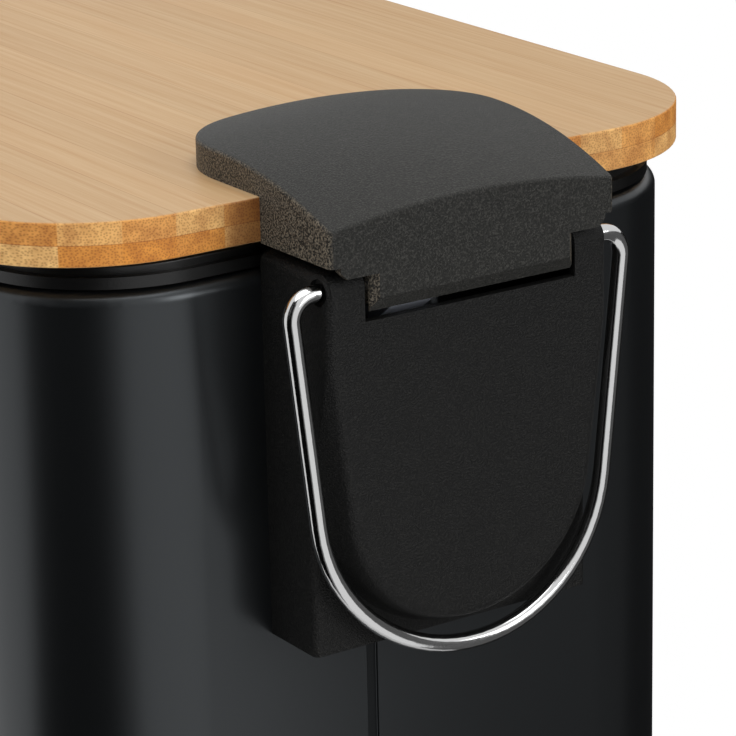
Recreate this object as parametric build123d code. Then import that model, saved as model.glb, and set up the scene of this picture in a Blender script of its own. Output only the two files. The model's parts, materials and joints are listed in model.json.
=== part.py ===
"""Slim bathroom pedal bin with a bamboo lid, a hinge housing and a wire bail on its back.

Millimetres, +Z up. The origin is the middle of the body's footprint on the floor.
The pedal is at -Y, the hinge housing at +Y, and the bin is symmetric about X = 0
apart from its back seam, the lift rod and the rod's lever.
"""
import os
from math import acos, atan2, cos, hypot, pi, radians, sin, tan

from build123d import *

# Steel body
body_width = 190.0
body_depth = 240.0
body_corner = 39.0
sheet = 0.7
shoulder_radius = 3.4
shoulder_flange = 2.6
seam_x = 11.0
seam_width = 3.2
seam_depth = 0.35
seam_round = 0.3

# Heights from the floor
lid_top = 285.0
foot_height = 2.5
sheet_foot = 6.0
floor_height = 34.0
floor_rim = 8.0

# Lid board
lid_width = 203.0
lid_back_overhang = 1.5
lid_front_overhang = 8.0
lid_corner = 41.0
lid_thickness = 10.5
lid_edge_radius = 0.6

# Rim ring at the body's mouth
neck_gap = 2.0
neck_height = 2.15
band_height = 2.75
band_groove = 0.5
band_inset = 2.0
neck_inset = 4.2
ring_opening_inset = 10.0
ring_sleeve = 2.4
ring_sleeve_depth = 16.0
bumper_radius = 2.4
bumper_clearance = 0.2

# Base ring and feet
base_lip = 1.3
base_height = 22.0
base_inner_lip = 2.0
base_inner_lip_height = 5.0
base_flange = 3.0
base_flange_inset = 13.0
foot_radius = 5.5
foot_inset = 6.5
pedal_slot_width = 26.0
pedal_slot_top = 18.0

# Hinge housing
housing_half_width = 39.0
housing_height = 93.5
housing_depth = 19.1
shield_rise = 8.8
housing_wall = 2.2
housing_side_edge = 1.8
top_gap = 2.7
shield_top_radius = 33.9
shield_foot_radius = 37.5
shield_foot_gap = 1.2
shield_spread_top = 39.6
shield_spread_foot = 47.0
shield_edge_radius = 2.6
notch_half_width = 29.2
notch_height = 11.8
front_strip = 5.0
pin_boss_length = 6.6
screw_boss_radius = 3.8
screw_boss_x = 27.0
screw_boss_upper = 40.0
screw_boss_lower = 10.5

# Hinge axis, at the centre of the housing's rounded top rear edge
hinge_round = 4.3
hinge_pin_radius = 2.0
hinge_pin_half_length = 33.4
pin_hole_recess = 1.2
pin_hole_recess_radius = 3.1
running_clearance = 0.08
lid_open_angle = 75.0

# Hinge cap
cap_half_width = 39.3
cap_side_bow = 0.4
cap_front_reach = 42.4
cap_rear_radius = 6.2
cap_wall = 2.3
cap_peak_reach = 19.8
cap_side_peak = 7.1
cap_crown = 3.4
cap_long_radius = 124.0
cap_front_corner_width = 18.0
cap_front_corner_depth = 23.0
cap_rear_corner = 1.5
cap_top_edge = 1.0
cap_skirt_drop = 10.8
cap_lip_drop = 13.7
cap_lip_half_width = 36.6
cap_lip_chamfer = 1.7
tab_half_width = 28.0
tab_face_drop = 19.5
tab_drop = 22.8
tab_bevel = 2.2
tab_side_bevel = 1.6
knuckle_radius = 4.6
rib = 2.0
cap_boss_radius = 4.2
cap_screw_x = 24.0
cap_screw_front = 32.0
cap_screw_back = 9.0

# Screws and rivets
screw_radius = 1.75
screw_hole_clearance = 0.1
screw_head_radius = 3.6
screw_head_height = 2.4
screw_bite = 7.0
rivet_radius = 1.6
rivet_head_radius = 3.0
rivet_head_height = 1.2

# Lift lever and rod
lever_x = 12.5
lever_width = 11.6
lever_plate = 1.4
lever_reach = 9.5
lever_eye = 3.4
lever_web_gap = 2.4
lever_head_drop = 6.0
lever_knuckle_gap = 1.0
rod_radius = 1.75
rod_x = 2.0
rod_wall_gap = 2.0
rod_bend = 6.0
rod_jog_foot = 205.0
rod_play = 0.35
rod_end_gap = 0.3
rod_hole_clearance = 1.0
stroke_share = 0.95
guide_width = 14.0
guide_height = 10.0
guide_cover = 1.6
guide_clearance = 0.3
guide_low = 80.0
guide_high = 165.0
rod_window_half_width = 6.0
rod_window_margin = 4.0

# Carrying bail
bail_radius = 2.0
bail_end = 34.3
bail_shoulder = 46.2
bail_bend = 5.5
bail_loop_radius = 42.0
bail_gap_below = 1.0

# Pedal
pedal_width = 18.0
pedal_plate = 2.5
pedal_level = 13.0
pedal_pivot_y = -30.0
pedal_pivot_rise = 3.5
pedal_ear = 2.0
pedal_ear_half_length = 8.0
pedal_end_gap = 1.5
pedal_axle_radius = 2.5
axle_overhang = 1.5
bracket_plate = 1.6
bracket_gap = 2.2
bracket_half_length = 16.0
bracket_ear_half_length = 9.0
bracket_ear_below = 5.0
pad_width = 62.0
pad_depth = 24.2
pad_height = 5.0
pad_gap = 4.3
pad_corner = 7.0
pad_groove = 1.6
pad_groove_pitch = 4.5

# Bucket
bucket_top = 238.0
bucket_floor_gap = 0.5
bucket_inset = 19.0
bucket_foot_inset = 26.0
bucket_wall = 2.0
bucket_corner = 24.0
bucket_foot_corner = 20.0
bucket_rim_inset = 13.0
bucket_rim_skirt = 6.0
bucket_lug_width = 2.6
bucket_lug_half_length = 5.0
handle_radius = 1.75
handle_clearance = 0.3
handle_inset = 2.0
handle_corner = 22.0

# Places worked out from the sizes above
back = body_depth / 2
lid_back = back + lid_back_overhang
lid_bottom = lid_top - lid_thickness
ring_top = lid_bottom - neck_gap
band_top = ring_top - neck_height
band_bottom = band_top - band_height
body_top = band_bottom - band_groove
housing_top = lid_bottom - top_gap
housing_bottom = housing_top - housing_height
housing_back = back + housing_depth
shield_back = housing_back + shield_rise
hinge_y = shield_back - hinge_round
hinge_z = housing_top - hinge_round
half_open = radians(lid_open_angle) / 2
rod_per_radian = stroke_share * lever_reach * tan(half_open) / half_open
rod_stroke = rod_per_radian * 2 * half_open
rod_top_y = hinge_y - lever_reach
rod_top_z = hinge_z - rod_stroke / 2
rod_foot_y = back - sheet - rod_wall_gap - rod_radius
pedal_pivot_z = pedal_level + pedal_plate + pedal_pivot_rise


def slab(width, depth, corner, low, high, y=0.0):
    """A rounded rectangle extruded from one height to another."""
    outline = Plane.XY.offset(low) * Pos(0, y) * RectangleRounded(width, depth, corner)
    return extrude(outline, high - low)


def body_slab(inset, low, high):
    """A slab with the body's outline, drawn in by an inset."""
    return slab(body_width - 2 * inset, body_depth - 2 * inset, body_corner - inset, low, high)


def ring(outer_inset, inner_inset, low, high):
    """A ring that follows the body's outline between two insets."""
    return body_slab(outer_inset, low, high) - body_slab(inner_inset, low, high)


def block(x0, x1, y0, y1, z0, z1):
    """A plain block between its lowest and highest corners."""
    place = Pos((x0 + x1) / 2, (y0 + y1) / 2, (z0 + z1) / 2)
    return place * Box(x1 - x0, y1 - y0, z1 - z0)


def rod_along_x(radius, x0, x1, y, z):
    """A cylinder along X."""
    return Pos((x0 + x1) / 2, y, z) * Rot(0, 90, 0) * Cylinder(radius, x1 - x0)


def rod_along_y(radius, x, z, y0, y1):
    """A cylinder along Y."""
    return Pos(x, (y0 + y1) / 2, z) * Rot(90, 0, 0) * Cylinder(radius, y1 - y0)


def rod_along_z(radius, x, y, z0, z1):
    """A cylinder along Z."""
    return Pos(x, y, (z0 + z1) / 2) * Cylinder(radius, z1 - z0)


def side_plate(points, x0, x1):
    """A plate between two X places, from an outline of (y, z) points."""
    face = Plane.YZ.offset(x0) * make_face(Polyline(*points, close=True))
    return extrude(face, x1 - x0, dir=(1, 0, 0))


def mirrored(shape):
    """A shape with its mirror image across the middle plane."""
    return shape + mirror(shape, Plane.YZ)


def pan_head(radius, height):
    """A screw or rivet head with a rounded top, flat side down at the origin."""
    head = Pos(0, 0, height / 2) * Cylinder(radius, height)
    return fillet(head.edges().group_by(Axis.Z)[-1], height * 0.7)


def wire(path, radius):
    """A round wire swept along a path of lines and arcs."""
    return sweep(Plane(path ^ 0) * Circle(radius), path=path)


# Body

def make_body_shell():
    """Steel sheet tube: rounded shoulder and flange at the mouth, seam groove, openings."""
    outer = body_slab(0, sheet_foot, body_top)
    outer = fillet(outer.faces().sort_by(Axis.Z)[-1].edges(), shoulder_radius)
    inner = body_slab(sheet, sheet_foot, body_top - sheet)
    inner = fillet(inner.faces().sort_by(Axis.Z)[-1].edges(), shoulder_radius - sheet)
    mouth = body_slab(shoulder_radius + shoulder_flange, body_top - 2 * shoulder_radius, body_top)
    shell = outer - inner - mouth
    seam = block(seam_x - seam_width / 2, seam_x + seam_width / 2,
                 back - seam_depth, back + 1, sheet_foot, body_top - 2 * shoulder_radius)
    pedal_slot = block(-pedal_slot_width / 2, pedal_slot_width / 2,
                       -back - 1, -back + 2 * sheet, sheet_foot, pedal_slot_top)
    window = block(rod_x - rod_window_half_width, rod_x + rod_window_half_width,
                   back - 2 * sheet, back + 1,
                   rod_jog_foot - rod_window_margin,
                   rod_jog_foot + 2 * rod_window_margin + rod_stroke + rod_wall_gap)
    seam = fillet(seam.edges().filter_by(Axis.Z).group_by(Axis.Y)[0], seam_round)
    shell = shell - seam - pedal_slot - window
    for x, z in housing_screw_places():
        shell = shell - rod_along_y(screw_radius + screw_hole_clearance, x, z, back - 2, back + 1)
    return shell


def make_bottom_plate():
    """Pressed steel floor with a turned-down rim, a hole for the rod and rivet holes."""
    plate = body_slab(sheet, floor_height - floor_rim, floor_height + sheet)
    plate = plate - body_slab(2 * sheet, floor_height - floor_rim, floor_height)
    plate = plate - rod_along_z(rod_radius + rod_hole_clearance, rod_x, rod_foot_y,
                                floor_height - 1, floor_height + 2)
    for y in bracket_rivet_places():
        plate = plate - rod_along_z(rivet_radius + screw_hole_clearance, 0, y,
                                    floor_height - 1, floor_height + 2)
    return plate


def make_rim_ring():
    """Moulded collar: a neck, a wider band, and a sleeve down inside the mouth."""
    band = ring(band_inset, ring_opening_inset, band_bottom, band_top)
    neck = ring(neck_inset, ring_opening_inset, band_top, ring_top)
    seat = ring(shoulder_radius + 0.4, ring_opening_inset, body_top, band_bottom)
    rib_low = body_top - sheet - 1.5
    locator = ring(shoulder_radius + shoulder_flange, ring_opening_inset, rib_low, body_top)
    sleeve = ring(ring_opening_inset - ring_sleeve, ring_opening_inset,
                  body_top - ring_sleeve_depth, rib_low)
    collar = band + neck + seat + locator + sleeve
    top_edges = collar.faces().sort_by(Axis.Z)[-1].outer_wire().edges()
    return fillet(top_edges, 0.6)


def make_base_ring():
    """Moulded foot ring: a groove for the sheet, a bottom flange and the pedal's slot."""
    outer = ring(-base_lip, 0, foot_height, base_height)
    outer = fillet(outer.faces().sort_by(Axis.Z)[-1].outer_wire().edges(), 0.8)
    flange = ring(0, base_flange_inset, foot_height, foot_height + base_flange)
    seat = ring(0, sheet + base_inner_lip, foot_height + base_flange, sheet_foot)
    lip = ring(sheet, sheet + base_inner_lip, sheet_foot, sheet_foot + base_inner_lip_height)
    slot = block(-pedal_slot_width / 2, pedal_slot_width / 2, -back - 2 * base_lip,
                 -back + base_flange_inset + 1, 0, pedal_slot_top)
    return outer + flange + seat + lip - slot


def foot_places():
    """The four corners of the base ring's flange, on the corner circles' 45 degree lines."""
    reach = (body_corner - foot_inset) * cos(pi / 4)
    x = body_width / 2 - body_corner + reach
    y = back - body_corner + reach
    return [(i * x, j * y) for i in (-1, 1) for j in (-1, 1)]


def make_rubber_feet():
    """Four rubber pads under the base ring."""
    feet = []
    for x, y in foot_places():
        pad = rod_along_z(foot_radius, x, y, 0, foot_height)
        feet.append(chamfer(pad.edges().group_by(Axis.Z)[0], 0.6))
    return Compound(children=feet)


# Hinge housing on the body's back

def u_outline(radius, spread, centre_z, top_z, corner_z, y):
    """A U in an XZ plane: legs from a spread at one height, tangent to a round bottom."""
    rise = corner_z - centre_z
    turn = atan2(rise, spread) - acos(radius / hypot(rise, spread))
    tx = radius * cos(turn)
    tz = centre_z + radius * sin(turn)
    slope = (spread - tx) / (corner_z - tz)
    top_x = tx + slope * (top_z - tz)
    right = Line((top_x, y, top_z), (tx, y, tz))
    bottom = ThreePointArc((tx, y, tz), (0, y, centre_z - radius), (-tx, y, tz))
    left = Line((-tx, y, tz), (-top_x, y, top_z))
    top = Line((-top_x, y, top_z), (top_x, y, top_z))
    return make_face([right, bottom, left, top])


def housing_form(inset):
    """The housing's outer form, or its hollow when it is drawn in by the wall."""
    centre_z = housing_bottom + shield_foot_gap + shield_foot_radius
    corner_z = housing_top - 7.0
    top_z = housing_top + 10.0
    foot = u_outline(shield_foot_radius - inset, shield_spread_foot - inset,
                     centre_z, top_z, corner_z, housing_back - inset - 0.5)
    face = u_outline(shield_top_radius - inset, shield_spread_top - inset,
                     centre_z, top_z, corner_z, shield_back - inset)
    shield = loft([foot, face], ruled=True)
    half = housing_half_width - inset
    box = block(-half, half, back - inset, housing_back - inset,
                housing_bottom + inset, housing_top + 10)
    low = housing_bottom + inset
    high = housing_top - inset
    rear = shield_back - inset
    round_radius = hinge_round - inset
    profile = make_face([
        Line((back - inset, low), (rear, low)),
        Line((rear, low), (rear, high - round_radius)),
        ThreePointArc((rear, high - round_radius),
                      (rear - round_radius * (1 - cos(pi / 4)), high - round_radius * (1 - cos(pi / 4))),
                      (rear - round_radius, high)),
        Line((rear - round_radius, high), (back - inset, high)),
        Line((back - inset, high), (back - inset, low)),
    ])
    side = extrude(Plane.YZ.offset(-half) * profile, 2 * half, dir=(1, 0, 0))
    return (box + shield) & side


def housing_screw_places():
    """Two screws high and two low, into the housing's bosses."""
    levels = (housing_top - screw_boss_upper, housing_bottom + screw_boss_lower)
    return [(i * screw_boss_x, z) for i in (-1, 1) for z in levels]


def make_hinge_housing():
    """Moulded box, open towards the body, with the raised shield and the cap's notch."""
    form = housing_form(0)
    shield_edges = [edge for edge in form.edges()
                    if abs(edge.center().Y - shield_back) < 0.02
                    and edge.center().Z < housing_top - hinge_round - 1]
    form = fillet(shield_edges, shield_edge_radius)
    side_edges = [edge for edge in form.edges()
                  if abs(abs(edge.center().X) - housing_half_width) < 0.01
                  and edge.center().Y > back + 0.01 and edge.center().Z > housing_bottom + 0.01]
    form = fillet(side_edges, housing_side_edge)
    hollow = housing_form(housing_wall)
    shell = form - hollow
    for x, z in housing_screw_places():
        post = rod_along_y(screw_boss_radius, x, z, back, shield_back - housing_wall)
        shell = shell + (post & form)
    boss = rod_along_x(hinge_round - 0.2, housing_half_width - housing_wall - pin_boss_length,
                       housing_half_width - housing_wall / 2, hinge_y, hinge_z)
    shell = shell + mirrored(boss)
    notch = block(-notch_half_width, notch_half_width, back + front_strip, shield_back + 1,
                  hinge_z - hinge_round - 2.0, housing_top + 1)
    deep_notch = block(-notch_half_width, notch_half_width, shield_back - hinge_round, shield_back + 1,
                       housing_top - notch_height, housing_top + 1)
    shell = shell - notch - deep_notch
    shell = shell - rod_along_x(hinge_pin_radius + running_clearance, -housing_half_width - 1,
                                housing_half_width + 1, hinge_y, hinge_z)
    shell = shell - mirrored(rod_along_x(pin_hole_recess_radius, housing_half_width - pin_hole_recess,
                                         housing_half_width + 1, hinge_y, hinge_z))
    for x, z in housing_screw_places():
        shell = shell - rod_along_y(screw_radius + screw_hole_clearance, x, z,
                                    back - 1, back + screw_bite + 1)
    return shell


def make_housing_screws():
    """Screws from inside the body into the housing's bosses."""
    screws = []
    for x, z in housing_screw_places():
        head = Pos(x, back - sheet, z) * Rot(90, 0, 0) * pan_head(screw_head_radius, screw_head_height)
        screws.append(head + rod_along_y(screw_radius, x, z, back - sheet, back + screw_bite))
    return Compound(children=screws)


def make_hinge_pin():
    """Steel pin across the housing, with chamfered ends."""
    pin = rod_along_x(hinge_pin_radius, -hinge_pin_half_length, hinge_pin_half_length, hinge_y, hinge_z)
    return chamfer(pin.edges().filter_by(GeomType.CIRCLE), 0.4)


# Lid board and hinge cap

def cap_screw_places():
    """Four screws up through the board into the cap's bosses."""
    return [(i * cap_screw_x, lid_back - y) for i in (-1, 1) for y in (cap_screw_front, cap_screw_back)]


def make_lid_board():
    """Bamboo board with a crisp broken edge and counterbored screw holes."""
    depth = body_depth + lid_back_overhang + lid_front_overhang
    board = slab(lid_width, depth, lid_corner, lid_bottom, lid_top, y=lid_back - depth / 2)
    rims = board.faces().filter_by(Axis.Z)
    board = fillet([edge for face in rims for edge in face.edges()], lid_edge_radius)
    for x, y in cap_screw_places():
        board = board - rod_along_z(screw_radius + screw_hole_clearance, x, y, lid_bottom - 1, lid_top + 1)
        board = board - rod_along_z(screw_head_radius + 0.4, x, y,
                                    lid_bottom - 1, lid_bottom + screw_head_height + 0.4)
    return board


def crown_form(drop):
    """Everything under the cap's double-curved top, which may be lowered by a wall."""
    peak_y = lid_back - cap_peak_reach
    axis_z = lid_top + cap_side_peak - cap_long_radius
    top = cap_long_radius - drop
    reach = cap_half_width + cap_side_bow
    inner = cap_long_radius / 2
    profile = make_face([
        Line((-reach, inner), (reach, inner)),
        Line((reach, inner), (reach, top)),
        ThreePointArc((reach, top), (0, top + cap_crown), (-reach, top)),
        Line((-reach, top), (-reach, inner)),
    ])
    placed = Plane(origin=(0, peak_y, axis_z), x_dir=(1, 0, 0), z_dir=(0, -1, 0)) * profile
    axis = Axis((0, peak_y, axis_z), (1, 0, 0))
    return revolve(placed, axis, revolution_arc=-35) + revolve(placed, axis, revolution_arc=25)


def cap_prism(inset, low):
    """The cap's footprint as a prism: bowed sides and wide elliptical front corners."""
    half = cap_half_width - inset
    wide = half + cap_side_bow
    wide_y = lid_back - cap_front_reach + cap_front_corner_depth
    front_y = lid_back - cap_front_reach + inset
    rear_y = hinge_y + cap_rear_radius - inset
    corner_width = cap_front_corner_width - inset
    corner_depth = cap_front_corner_depth - inset
    middle = ((half + 3 * wide) / 4, (rear_y + wide_y) / 2)
    outline = [
        Line((-half, rear_y), (half, rear_y)),
        ThreePointArc((half, rear_y), middle, (wide, wide_y)),
        EllipticalCenterArc((wide - corner_width, wide_y), corner_width, corner_depth,
                            -90, arc_size=90),
        Line((wide - corner_width, front_y), (corner_width - wide, front_y)),
        EllipticalCenterArc((corner_width - wide, wide_y), corner_width, corner_depth,
                            180, arc_size=90),
        ThreePointArc((-half, rear_y), (-middle[0], middle[1]), (-wide, wide_y)),
    ]
    prism = extrude(Plane.XY.offset(low) * make_face(outline), lid_top + 30 - low)
    rear_edges = prism.edges().filter_by(Axis.Z).group_by(Axis.Y)[-1]
    return fillet(rear_edges, max(cap_rear_corner - inset, 0.4))


def cap_arm_plate(x0, x1):
    """A rib from a knuckle up to the cap's roof and back to its rear wall."""
    return block(x0, x1, hinge_y - knuckle_radius, hinge_y + cap_rear_radius - cap_wall / 2,
                 hinge_z, lid_top + 20)


def make_hinge_cap():
    """Moulded cap: crowned roof, skirt behind the board, rear tab, knuckles and ribs."""
    skirt_low = lid_top - cap_skirt_drop
    outer = cap_prism(0, skirt_low) & crown_form(0)
    top_edges = outer.edges().filter_by(lambda edge: edge.center().Z > lid_top - 4)
    outer = fillet([edge for edge in top_edges if edge.geom_type != GeomType.LINE], cap_top_edge)
    hollow = cap_prism(cap_wall, skirt_low - 1) & crown_form(cap_wall)
    shell = outer - hollow
    shell = shell - block(-cap_half_width - 1, cap_half_width + 1,
                          lid_back - cap_front_reach - 1, lid_back, skirt_low - 2, lid_top)
    face_y = hinge_y + cap_rear_radius
    inner_y = face_y - cap_wall
    lip = block(-cap_lip_half_width, cap_lip_half_width, inner_y, face_y,
                lid_top - cap_lip_drop, skirt_low + 1)
    lip_corners = lip.edges().filter_by(Axis.Y).group_by(Axis.Z)[0]
    lip = chamfer(lip_corners, cap_lip_chamfer)
    tab_points = [
        (inner_y, lid_top - cap_lip_drop + 0.5), (face_y, lid_top - cap_lip_drop + 0.5),
        (face_y, lid_top - tab_face_drop), (face_y - tab_bevel, lid_top - tab_drop),
        (inner_y, lid_top - tab_drop),
    ]
    tab = side_plate(tab_points, -tab_half_width, tab_half_width)
    tab_sides = tab.edges().filter_by(Axis.Z).group_by(Axis.Y)[-1]
    tab = chamfer(tab_sides, tab_side_bevel)
    gap_low = lever_x - lever_width / 2 - lever_knuckle_gap
    gap_high = lever_x + lever_width / 2 + lever_knuckle_gap
    knuckles = rod_along_x(knuckle_radius, -tab_half_width + 0.4, gap_low, hinge_y, hinge_z)
    knuckles = knuckles + rod_along_x(knuckle_radius, gap_high, tab_half_width - 0.4, hinge_y, hinge_z)
    inside = cap_prism(cap_wall / 2, hinge_z - 1) & crown_form(cap_wall / 2)
    ribs = []
    for x in (-tab_half_width + 0.4, -tab_half_width / 2 + rib, gap_low - rib,
              gap_high, tab_half_width - rib - 0.4):
        ribs.append(cap_arm_plate(x, x + rib) & inside)
    posts = []
    for x, y in cap_screw_places():
        posts.append(rod_along_z(cap_boss_radius, x, y, lid_top, lid_top + 20) & inside)
    pad_low = hinge_z + hinge_round + lever_head_drop
    posts.append(rod_along_z(cap_boss_radius - 0.6, lever_x, hinge_y - 0.6, pad_low, lid_top + 20) & inside)
    cap = shell + lip + tab + knuckles
    for piece in ribs + posts:
        cap = cap + piece
    cap = cap - rod_along_x(hinge_pin_radius + running_clearance, -tab_half_width, tab_half_width,
                            hinge_y, hinge_z)
    for x, y in cap_screw_places():
        cap = cap - rod_along_z(screw_radius + screw_hole_clearance, x, y,
                                lid_top - 1, lid_top + screw_bite - 1)
    return cap - rod_along_z(screw_radius + screw_hole_clearance, lever_x, hinge_y - 0.6,
                             pad_low - 1, pad_low + 4)


def make_lid_screws():
    """Screws in the board's counterbores, up into the cap."""
    screws = []
    seat = lid_bottom + screw_head_height + 0.4
    for x, y in cap_screw_places():
        head = Pos(x, y, seat) * Rot(180, 0, 0) * pan_head(screw_head_radius, screw_head_height)
        screws.append(head + rod_along_z(screw_radius, x, y, seat, lid_top + screw_bite - 2))
    return Compound(children=screws)


def make_lid_bumpers():
    """Four rubber buttons under the board, over the rim ring's top face."""
    middle = (neck_inset + ring_opening_inset) / 2
    reach = (body_corner - middle) * cos(pi / 4)
    buttons = []
    for i in (-1, 1):
        for j in (-1, 1):
            x = i * (body_width / 2 - body_corner + reach)
            y = j * (back - body_corner + reach)
            button = rod_along_z(bumper_radius, x, y, ring_top + bumper_clearance, lid_bottom)
            buttons.append(chamfer(button.edges().group_by(Axis.Z)[0], 0.5))
    return Compound(children=buttons)


# Lift lever and lift rod

def make_lift_lever():
    """Bent steel channel on the hinge pin: two slotted cheeks, a web and a screwed head."""
    slot_half = rod_radius + rod_play + abs(
        rod_stroke / 2 * cos(half_open) - lever_reach * sin(half_open))
    far = hypot(lever_reach, rod_stroke / 2)
    low = slot_half + lever_web_gap
    long_end = far + slot_half + 2.2
    head_z = hinge_z + hinge_round + lever_head_drop
    x0 = lever_x - lever_width / 2
    x1 = lever_x + lever_width / 2
    arm = Plane.YZ.offset(x0) * Pos(hinge_y, hinge_z) * Rot(0, 0, 180 + lid_open_angle / 2)
    eye = Circle(lever_eye)
    neck = Pos(2.0, 0) * Rectangle(4.0, 2 * lever_eye)
    plate = Pos((2.5 + long_end) / 2, (low - slot_half - 1.8) / 2) * Rectangle(
        long_end - 2.5, low + slot_half + 1.8)
    cheek = extrude(arm * (eye + neck + plate), lever_width, dir=(1, 0, 0))
    cheek = fillet(cheek.edges().filter_by(Axis.X).group_by(Axis.Z)[0], 1.2)
    riser = block(x0, x1, hinge_y - lever_eye, hinge_y + lever_eye - 0.6, hinge_z, head_z)
    solid = cheek + riser
    inner_arm = Plane.YZ.offset(x0 + lever_plate) * Pos(hinge_y, hinge_z) * Rot(
        0, 0, 180 + lid_open_angle / 2)
    room = Pos(long_end / 2, (low - lever_plate) / 2 - 5) * Rectangle(
        long_end + 20, low - lever_plate + 10)
    inner = extrude(inner_arm * room, lever_width - 2 * lever_plate, dir=(1, 0, 0))
    inner = inner + block(x0 + lever_plate, x1 - lever_plate, hinge_y - 12, hinge_y + 12,
                          hinge_z - 3, head_z - lever_plate)
    solid = solid - inner
    slot = Pos((lever_reach + far) / 2, 0) * SlotCenterToCenter(
        far - lever_reach + 2 * rod_play, 2 * slot_half)
    solid = solid - extrude(arm * slot, lever_width, dir=(1, 0, 0))
    solid = solid - rod_along_x(hinge_pin_radius + running_clearance, x0 - 1, x1 + 1, hinge_y, hinge_z)
    return solid - rod_along_z(screw_radius + screw_hole_clearance, lever_x, hinge_y - 0.6,
                               head_z - 3, head_z + 3)


def make_lever_screw():
    """Screw up through the lever's head into the cap."""
    head_z = hinge_z + hinge_round + lever_head_drop
    seat = head_z - lever_plate
    head = Pos(lever_x, hinge_y - 0.6, seat) * Rot(180, 0, 0) * pan_head(2.6, 1.8)
    return head + rod_along_z(screw_radius, lever_x, hinge_y - 0.6, seat, head_z + 3.5)


def make_lift_rod():
    """Steel wire: up the back wall, out through the window, up to the lever, then across."""
    foot_z = pedal_level + pedal_plate + rod_end_gap
    jog = rod_top_y - rod_foot_y
    path = FilletPolyline(
        (rod_x, rod_foot_y, foot_z),
        (rod_x, rod_foot_y, rod_jog_foot),
        (rod_x, rod_top_y, rod_jog_foot + jog),
        (rod_x, rod_top_y, rod_top_z),
        (lever_x + lever_width / 2 + 2.2, rod_top_y, rod_top_z),
        radius=[rod_bend, rod_bend, rod_radius * 1.6],
    )
    return wire(path, rod_radius)


def make_rod_guides():
    """Moulded saddles on the back wall that the rod slides in."""
    guides = []
    front_y = rod_foot_y - rod_radius - guide_clearance - guide_cover
    for z in (guide_low, guide_high):
        saddle = block(rod_x - guide_width / 2, rod_x + guide_width / 2, front_y, back - sheet,
                       z - guide_height / 2, z + guide_height / 2)
        saddle = chamfer(saddle.edges().filter_by(Axis.Z).group_by(Axis.Y)[0], 2.0)
        guides.append(saddle - rod_along_z(rod_radius + guide_clearance, rod_x, rod_foot_y,
                                           z - guide_height, z + guide_height))
    return Compound(children=guides)


# Carrying bail on the housing

def make_carry_bail():
    """Chromed wire: ends turned in to the housing's holes, splayed legs, round bottom."""
    centre_z = housing_bottom - bail_gap_below - bail_radius + bail_loop_radius
    rise = hinge_z - centre_z
    turn = atan2(rise, bail_shoulder) - acos(bail_loop_radius / hypot(rise, bail_shoulder))
    foot = (bail_loop_radius * cos(turn), centre_z + bail_loop_radius * sin(turn))
    leg = hypot(bail_shoulder - foot[0], hinge_z - foot[1])
    toward = ((foot[0] - bail_shoulder) / leg, (foot[1] - hinge_z) / leg)
    corner = atan2(-toward[1], toward[0])
    trim = bail_bend * tan(corner / 2)
    bend_in = (bail_shoulder - trim, hinge_z)
    bend_out = (bail_shoulder + toward[0] * trim, hinge_z + toward[1] * trim)
    middle_angle = pi / 2 - corner / 2
    bend_mid = (bend_in[0] + bail_bend * cos(middle_angle),
                hinge_z - bail_bend + bail_bend * sin(middle_angle))

    def place(point, side):
        return (side * point[0], hinge_y, point[1])

    path = Wire([
        Line(place((bail_end, hinge_z), 1), place(bend_in, 1)),
        ThreePointArc(place(bend_in, 1), place(bend_mid, 1), place(bend_out, 1)),
        Line(place(bend_out, 1), place(foot, 1)),
        ThreePointArc(place(foot, 1), (0, hinge_y, centre_z - bail_loop_radius), place(foot, -1)),
        Line(place(foot, -1), place(bend_out, -1)),
        ThreePointArc(place(bend_out, -1), place(bend_mid, -1), place(bend_in, -1)),
        Line(place(bend_in, -1), place((bail_end, hinge_z), -1)),
    ])
    return wire(path, bail_radius)


# Pedal under the floor

def bracket_rivet_places():
    """One rivet at each end of the pedal bracket."""
    reach = bracket_half_length - rivet_head_radius - 1
    return [pedal_pivot_y - reach, pedal_pivot_y + reach]


def pad_front():
    """The pad's front edge."""
    return -back - base_lip - pad_gap - pad_depth


def pad_rivet_places():
    """Two rivets that hold the pad on the lever."""
    middle = pad_front() + pad_depth / 2
    return [middle - 6, middle + 6]


def make_pedal_lever():
    """Steel strip from the pad to the rod, with two eared knuckles on the axle."""
    y0 = pad_front() + 3
    y1 = back - sheet - pedal_end_gap
    half = pedal_width / 2
    strip = slab(pedal_width, y1 - y0, 4.0, pedal_level, pedal_level + pedal_plate, y=(y0 + y1) / 2)
    top = pedal_level + pedal_plate
    ear = block(half - pedal_ear, half, pedal_pivot_y - pedal_ear_half_length,
                pedal_pivot_y + pedal_ear_half_length, top, pedal_pivot_z + 1)
    ear = ear + rod_along_x(pedal_axle_radius + 2.2, half - pedal_ear, half, pedal_pivot_y, pedal_pivot_z)
    ear = ear & block(half - pedal_ear, half, pedal_pivot_y - 20, pedal_pivot_y + 20, top, 60)
    lever = strip + mirrored(ear)
    lever = lever - rod_along_x(pedal_axle_radius + running_clearance, -half - 1, half + 1,
                                pedal_pivot_y, pedal_pivot_z)
    for y in pad_rivet_places():
        lever = lever - rod_along_z(rivet_radius + screw_hole_clearance, 0, y, 0, 40)
    return lever


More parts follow.
